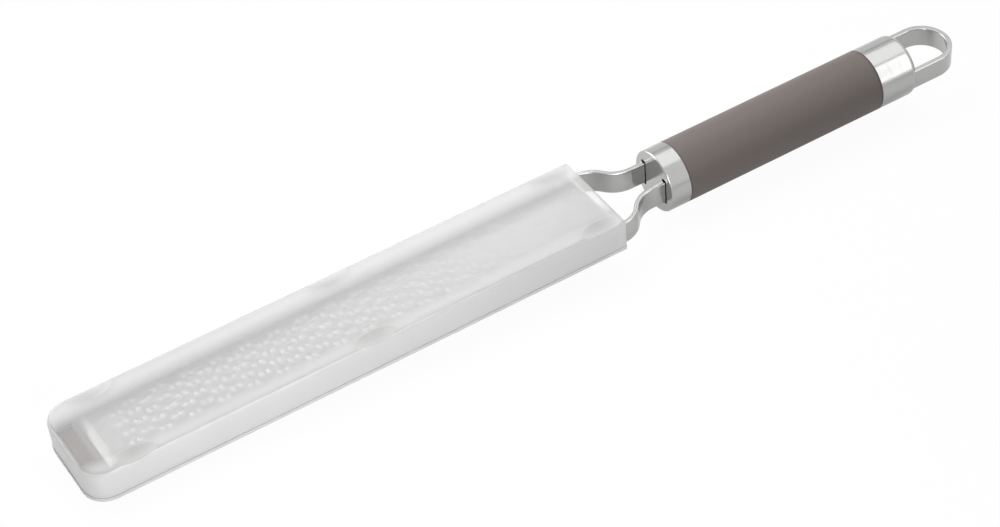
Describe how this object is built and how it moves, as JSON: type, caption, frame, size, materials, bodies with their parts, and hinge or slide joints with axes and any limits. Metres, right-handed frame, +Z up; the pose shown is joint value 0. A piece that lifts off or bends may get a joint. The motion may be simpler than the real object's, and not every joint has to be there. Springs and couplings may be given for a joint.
{
  "type": "rasp zester",
  "caption": "Rasp zester: slotted steel blade folded over a bent strip frame, round grip with steel ferrule and hanging loop, and a frosted blade cover that slides off the tip.",
  "frame": {"origin": "middle of the part's length and width, at the lowest line of the round handle", "axes": "+X along the tool from the tip to the hanging loop, +Y across it, +Z up from the blade's cutting side"},
  "size_m": [0.3692, 0.04, 0.024],
  "materials": {
    "cover_plastic": "frosted, translucent",
    "blade_steel": "etched, satin",
    "frame_steel": "satin",
    "foot_rubber": "matte",
    "satin_steel": "satin",
    "seal_rubber": "matte",
    "core_plastic": "moulded",
    "pin_steel": "turned",
    "grip_plastic": "matte, soft-touch"
  },
  "bodies": {
    "tool": {"rasp_blade": "blade_steel", "blade_frame": "frame_steel", "tip_foot": "foot_rubber", "front_ferrule": "satin_steel", "front_seal": "seal_rubber", "handle_core": "core_plastic", "tang_pins": "pin_steel", "grip_sleeve": "grip_plastic", "rear_seal": "seal_rubber", "cap_stud": "pin_steel", "end_cap": "satin_steel"},
    "cover": {"blade_cover": "cover_plastic"}
  },
  "joints": [
    {"name": "cover_slide", "type": "slide", "parent": "tool", "child": "cover", "axis": [-1, 0, 0], "range_m": [0, 0.23]}
  ]
}
